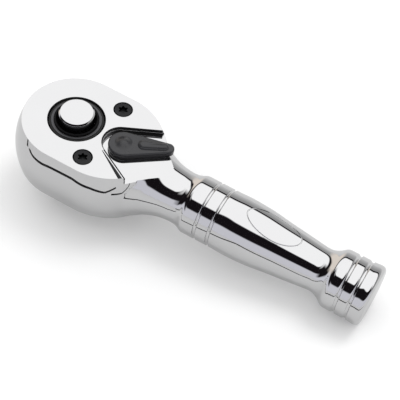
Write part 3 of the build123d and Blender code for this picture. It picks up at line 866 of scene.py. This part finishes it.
class WRENCH_OT_release(bpy.types.Operator):
    """Builds the release button, its collar and the detent ball."""
    bl_idname = "wrench.release"
    bl_label = "Quick release"

    def execute(self, context):
        flange = BUTTON_HIGH.x
        low, high = BUTTON_LOW.z, BUTTON_HIGH.z
        bevel = 0.42 * MM
        flange_top = low + 1.5 * MM
        corners = [(ROD_HOLE, low, 0), (flange, low, 0.1 * MM), (flange, flange_top, 0.1 * MM),
                   (BUTTON_RADIUS, flange_top, 0), (BUTTON_RADIUS, high - bevel, 0.08 * MM),
                   (BUTTON_RADIUS - bevel, high, 0.08 * MM), (0, high, 0)]
        button = as_object(spun([Vector((ROD_HOLE, 0, low + MM)), *rounded(corners, 8)]), "button")
        finished(button, chrome(), "button", ["release_button"])
        outer = COLLAR_HIGH.x
        low, high = COLLAR_LOW.z, COLLAR_HIGH.z
        inner, mouth = 5.6 * MM, 6.35 * MM
        corners = [(inner, low, 0), (outer, low, 0), (outer, high, 0.3 * MM), (mouth, high, 0.15 * MM),
                   (inner, high - 1.1 * MM, 0), (inner, low, 0)]
        collar = as_object(spun(rounded(corners)), "collar")
        finished(collar, collar_black_and_painted_shade(), "drive", ["button_collar"])
        bm = bmesh.new()
        bmesh.ops.create_icosphere(bm, subdivisions=5, radius=(BALL_HIGH.z - BALL_LOW.z) / 2)
        bmesh.ops.translate(bm, vec=(BALL_LOW + BALL_HIGH) / 2, verts=bm.verts[:])
        finished(as_object(bm, "ball"), chrome(), "ball", ["detent_ball"])
        return {"FINISHED"}


def lever_dome(sizes, low, high):
    """The round mound over the pivot."""
    rise = high - low
    points = []
    for step in range(17):
        part = step / 16
        level = low + rise * (0.5 + 0.5 * math.cos(math.pi * part)) ** 0.8
        points.append((sizes.dome * part, 0, level))
    points.append((sizes.dome, 0, low - 0.3 * MM))
    points.append((0, 0, low - 0.3 * MM))
    return spun(points, steps=96)


def lever_ridge(sizes, low, high):
    """The thumb ridge: a long mound with round ends, made as stacked shrinking outlines."""
    bm = bmesh.new()
    heel, toe = 1.75 * MM, 1.3 * MM
    bar(bm, heel, toe, sizes.ridge_end, low - 0.3 * MM, low, sizes.ridge_start)
    top = [f for f in bm.faces if f.normal.z > 0.9]
    steps = 9
    previous = 0.0
    for step in range(1, steps + 1):
        angle = math.pi / 2 * step / steps
        inset = heel * 0.8 * (1 - math.cos(angle))
        rise = (high - low) * math.sin(angle)
        bmesh.ops.inset_region(bm, faces=top, thickness=inset - previous, use_even_offset=True)
        for v in {v for f in top for v in f.verts}:
            v.co.z = low + rise
        previous = inset
    return bm


class WRENCH_OT_lever(bpy.types.Operator):
    """Builds the reversing lever with its dome and thumb ridge."""
    bl_idname = "wrench.lever"
    bl_label = "Reversing lever"

    def execute(self, context):
        sizes = context.scene.wrench_lever
        low, high = LEVER_LOW.z, LEVER_HIGH.z
        pad = low + 2.1 * MM
        step = low + 0.95 * MM
        skirt = bmesh.new()
        bar(skirt, sizes.heel - 0.12 * MM, sizes.toe - 0.12 * MM, sizes.reach, low, step)
        soften(skirt, level_edges(skirt, step), 0.12 * MM, 3)
        lever = as_object(skirt, "lever")
        upper = bmesh.new()
        bar(upper, sizes.heel, sizes.toe, sizes.reach, step - 0.02 * MM, pad)
        soften(upper, level_edges(upper, pad), 0.55 * MM, 6)
        soften(upper, level_edges(upper, step - 0.02 * MM), 0.12 * MM, 3)
        combined(lever, as_object(upper, "upper"), "UNION")
        combined(lever, as_object(lever_dome(sizes, pad - 0.02 * MM, high), "dome"), "UNION")
        combined(lever, as_object(lever_ridge(sizes, pad - 0.02 * MM, high - 0.1 * MM), "ridge"), "UNION")
        place = Matrix.Translation((sizes.pivot, 0, 0)) @ Matrix.Rotation(sizes.rest, 4, "Z")
        lever.data.transform(place)
        finished(lever, lever_coat(), "lever", ["reverse_lever"], sharp=40.0)
        return {"FINISHED"}


class WRENCH_OT_inner(bpy.types.Operator):
    """Gives the gear, the pins, the springs and the seals their finishes."""
    bl_idname = "wrench.inner"
    bl_label = "Inner parts"

    def execute(self, context):
        finishes = {
            "drive_gear": hub_steel, "thrust_washer": bare_steel, "drive_o_ring": rubber,
            "hub_seal": rubber, "push_rod": bare_steel, "release_spring": bare_steel,
            "pawl": hub_steel, "pawl_pin": bare_steel, "cover_dowels": bare_steel,
            "selector_spindle": bare_steel, "selector_plunger": bare_steel,
            "plunger_spring": bare_steel, "spindle_clip": bare_steel, "lever_o_ring": rubber,
        }
        for node, make in finishes.items():
            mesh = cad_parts[node].data
            mesh.materials.clear()
            mesh.materials.append(make())
        return {"FINISHED"}


# ---- Stage --------------------------------------------------------------------------------


def ramp_of(nodes, stops):
    """A colour ramp over the sine of a direction's elevation, from -1 to 1."""
    bands = nodes.new("ShaderNodeValToRGB")
    ramp = bands.color_ramp
    while len(ramp.elements) < len(stops):
        ramp.elements.new(1.0)
    for element, (degrees, colour) in zip(ramp.elements, stops):
        element.position = (math.sin(math.radians(degrees)) + 1) / 2
        element.color = (*colour, 1)
    return bands


def studio_world():
    """Soft studio surroundings in bands of height, for four quarters around the wrench."""
    white, black, deep = (1.42, 1.42, 1.42), (0.010, 0.008, 0.010), (0.06, 0.06, 0.06)
    lilac, grey, slate = (0.84, 0.84, 0.91), (0.82, 0.82, 0.82), (0.42, 0.42, 0.42)
    beige = (1.08, 0.98, 0.88)
    quarters = {
        ("front", "right"): [(-90, grey), (-10, grey), (0, lilac), (26, lilac),
                             (30, black), (61, black), (64, white)],
        ("front", "left"): [(-90, grey), (-10, grey), (0, lilac), (9, lilac),
                            (14, black), (50, black), (56, white)],
        ("behind", "right"): [(-90, grey), (-4, grey), (22, slate), (28, slate),
                              (30, black), (35, black), (38, white)],
        ("behind", "left"): [(-90, deep), (-8, deep), (-3, beige), (22, beige),
                             (27, black), (33, black), (37, white)],
    }
    world = bpy.data.worlds.new("Studio")
    world.use_nodes = True
    nodes, links = world.node_tree.nodes, world.node_tree.links
    background = nodes["Background"]
    coords = nodes.new("ShaderNodeTexCoord")
    parts = nodes.new("ShaderNodeSeparateXYZ")
    links.new(coords.outputs["Generated"], parts.inputs[0])
    height = placed(nodes, "ShaderNodeMapRange", {"From Min": -1.0})
    links.new(parts.outputs["Z"], height.inputs["Value"])

    def share_of(axis, low, high):
        """How far a direction's part along an axis is from low to high."""
        share_node = placed(nodes, "ShaderNodeMapRange", {"From Min": low, "From Max": high})
        links.new(parts.outputs[axis], share_node.inputs["Value"])
        return share_node.outputs[0]

    def mixed(factor, first, second):
        """Two colours mixed by a factor."""
        mix = placed(nodes, "ShaderNodeMix", data_type="RGBA")
        links.new(factor, mix.inputs["Factor"])
        links.new(first, mix.inputs["A"])
        links.new(second, mix.inputs["B"])
        return mix.outputs["Result"]

    colours = {}
    for quarter, stops in quarters.items():
        bands = ramp_of(nodes, stops)
        links.new(height.outputs[0], bands.inputs["Fac"])
        colours[quarter] = bands.outputs["Color"]
    rightness = share_of("X", -0.62, -0.3)
    behindness = share_of("Y", -0.15, 0.15)
    front = mixed(rightness, colours["front", "left"], colours["front", "right"])
    behind = mixed(rightness, colours["behind", "left"], colours["behind", "right"])
    path = nodes.new("ShaderNodeLightPath")
    even = nodes.new("ShaderNodeRGB")
    even.outputs[0].default_value = (1.04, 1.04, 1.04, 1)
    seen = mixed(path.outputs["Is Glossy Ray"], even.outputs[0], mixed(behindness, front, behind))
    links.new(seen, background.inputs["Color"])
    bpy.context.scene.world = world


def matt(name, colour, roughness):
    """A plain material for the stage."""
    material = bpy.data.materials.new(name)
    material.use_nodes = True
    shader = material.node_tree.nodes["Principled BSDF"]
    shader.inputs["Base Color"].default_value = (*colour, 1)
    shader.inputs["Roughness"].default_value = roughness
    return material


def painted_reflection_strip():
    """Dark strips and an arc around the wrench, seen only in its polished sides: a painted reflection of
    dark lines, hidden from the camera, from diffuse light and from shadows.
    """
    beside_head = [(-60, 20), (-11.5, 23), (0, 24.6), (8, 24.8), (17, 23.6), (24.4, 21.2), (30, 22.4),
                   (32, 22.8)]
    beside_handle = [(28.5, 18.8), (38, 15.4), (46, 17), (60.4, 23.2), (74, 21), (84.5, 19), (92.5, 21.5),
                     (130, 21.8)]
    away, half = -23.4 * MM, 0.62 * MM
    bm = bmesh.new()
    for line in (beside_head, beside_handle):
        for start, end in zip(line, line[1:]):
            start, end = Vector(start) * MM, Vector(end) * MM
            side = (end - start).orthogonal().normalized() * half
            corners = [start - side, end - side, end + side, start + side]
            bm.faces.new([bm.verts.new((corner.x, away, corner.y)) for corner in corners])
    radius, low, high = 26 * MM, 27 * MM, 37 * MM
    arc = [math.radians(angle) for angle in range(80, 171, 10)]
    for first, last in zip(arc, arc[1:]):
        corners = [(first, low), (last, low), (last, high), (first, high)]
        bm.faces.new([bm.verts.new((radius * math.cos(angle), radius * math.sin(angle), level))
                      for angle, level in corners])
    strip = as_object(bm, "painted_reflection_strip")
    strip.data.materials.append(matt("Painted reflection strip", (0.02, 0.02, 0.02), 0.9))
    # Painted reflection: seen only by glossy rays.
    strip.visible_camera = False
    strip.visible_diffuse = False
    strip.visible_shadow = False


class WRENCH_OT_stage(bpy.types.Operator):
    """Builds the floor, the light and the camera."""
    bl_idname = "wrench.stage"
    bl_label = "Stage"

    def execute(self, context):
        stage = context.scene.wrench_stage
        handle = context.scene.wrench_handle
        studio_world()
        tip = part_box("drive_gear")
        edge = Vector((SQUARE_HALF, 0, tip[0].z))
        far = Vector(((HANDLE_END - 0.8) * MM, 0, handle.axis - PROFILE[-1][1] * MM))
        lean = math.atan2(far.z - edge.z, far.x - edge.x)
        bm = bmesh.new()
        bmesh.ops.create_grid(bm, x_segments=8, y_segments=8, size=3.0)
        bmesh.ops.rotate(bm, cent=(0, 0, 0), matrix=Matrix.Rotation(-lean, 3, "Y"), verts=bm.verts[:])
        bmesh.ops.translate(bm, vec=edge, verts=bm.verts[:])
        floor = as_object(bm, "floor")
        material = matt("Pale floor", stage.floor, 0.8)
        nodes, links = material.node_tree.nodes, material.node_tree.links
        shader = nodes["Principled BSDF"]
        path = nodes.new("ShaderNodeLightPath")
        # Painted reflection tone: glossy rays see the floor darker than the camera does.
        mirrored = placed(nodes, "ShaderNodeMix", data_type="RGBA", values={
            "A": (*stage.floor, 1), "B": (*shaded(stage.floor, 0.76), 1),
        })
        links.new(path.outputs["Is Glossy Ray"], mirrored.inputs["Factor"])
        links.new(mirrored.outputs["Result"], shader.inputs["Base Color"])
        shader.inputs["Specular IOR Level"].default_value = 0.2
        floor.data.materials.append(material)
        painted_reflection_strip()
        context.scene.view_settings.view_transform = "Standard"
        lamp = bpy.data.lights.new("Key", "AREA")
        lamp.shape = "DISK"
        lamp.size = 0.35
        lamp.energy = 1.2
        key = bpy.data.objects.new("Key", lamp)
        key.location = (0.15, 0.25, 0.7)
        key.rotation_mode = "QUATERNION"
        key.rotation_quaternion = (key.location - Vector((0.04, 0, 0))).to_track_quat("Z", "Y")
        key.visible_glossy = False
        bpy.context.scene.collection.objects.link(key)
        self.camera(stage, handle)
        return {"FINISHED"}

    def camera(self, stage, handle):
        """Camera at its azimuth, elevation and roll about the target."""
        back = Vector((math.sin(stage.azimuth) * math.cos(stage.elevation),
                       -math.cos(stage.azimuth) * math.cos(stage.elevation), math.sin(stage.elevation)))
        level_right = Vector((0, 0, 1)).cross(back).normalized()
        level_up = back.cross(level_right)
        right = level_right * math.cos(stage.roll) + level_up * math.sin(stage.roll)
        up = level_up * math.cos(stage.roll) - level_right * math.sin(stage.roll)
        lens = bpy.data.cameras.new("Camera")
        lens.lens = stage.lens
        lens.sensor_width = 36.0
        lens.clip_start = 0.01
        lens.clip_end = 20.0
        camera = bpy.data.objects.new("Camera", lens)
        target = Vector((stage.target_x, stage.target_y, handle.axis))
        turned = Matrix((right, up, back)).transposed().to_4x4()
        camera.matrix_world = Matrix.Translation(target + back * stage.distance) @ turned
        bpy.context.scene.collection.objects.link(camera)
        bpy.context.scene.camera = camera


class WRENCH_PT_panel(bpy.types.Panel):
    """Lists the wrench's pieces and sizes."""
    bl_idname = "WRENCH_PT_panel"
    bl_label = "Ratchet wrench"
    bl_space_type = "VIEW_3D"
    bl_region_type = "UI"
    bl_category = "Wrench"

    def draw(self, context):
        for operator in OPERATORS:
            self.layout.operator(operator.bl_idname)
        for name in GROUPS:
            settings = getattr(context.scene, name)
            column = self.layout.column()
            for key in settings.__annotations__:
                column.prop(settings, key)


OPERATORS = [WRENCH_OT_body, WRENCH_OT_cover, WRENCH_OT_screws, WRENCH_OT_release, WRENCH_OT_lever,
             WRENCH_OT_inner, WRENCH_OT_stage]
GROUPS = {"wrench_head": WrenchHeadSizes, "wrench_handle": WrenchHandleSizes,
          "wrench_lever": WrenchLeverSizes, "wrench_finish": WrenchFinish, "wrench_stage": WrenchStage}


def register():
    for kind in [*GROUPS.values(), *OPERATORS, WRENCH_PT_panel]:
        bpy.utils.register_class(kind)
    for name, kind in GROUPS.items():
        setattr(bpy.types.Scene, name, bpy.props.PointerProperty(type=kind))


def unregister():
    for name in GROUPS:
        delattr(bpy.types.Scene, name)
    for kind in [WRENCH_PT_panel, *reversed(OPERATORS), *reversed(list(GROUPS.values()))]:
        bpy.utils.unregister_class(kind)


def main():
    register()
    bpy.ops.wrench.body()
    bpy.ops.wrench.cover()
    bpy.ops.wrench.screws()
    bpy.ops.wrench.release()
    bpy.ops.wrench.lever()
    bpy.ops.wrench.inner()
    bpy.ops.wrench.stage()


if __name__ == "__main__":
    main()
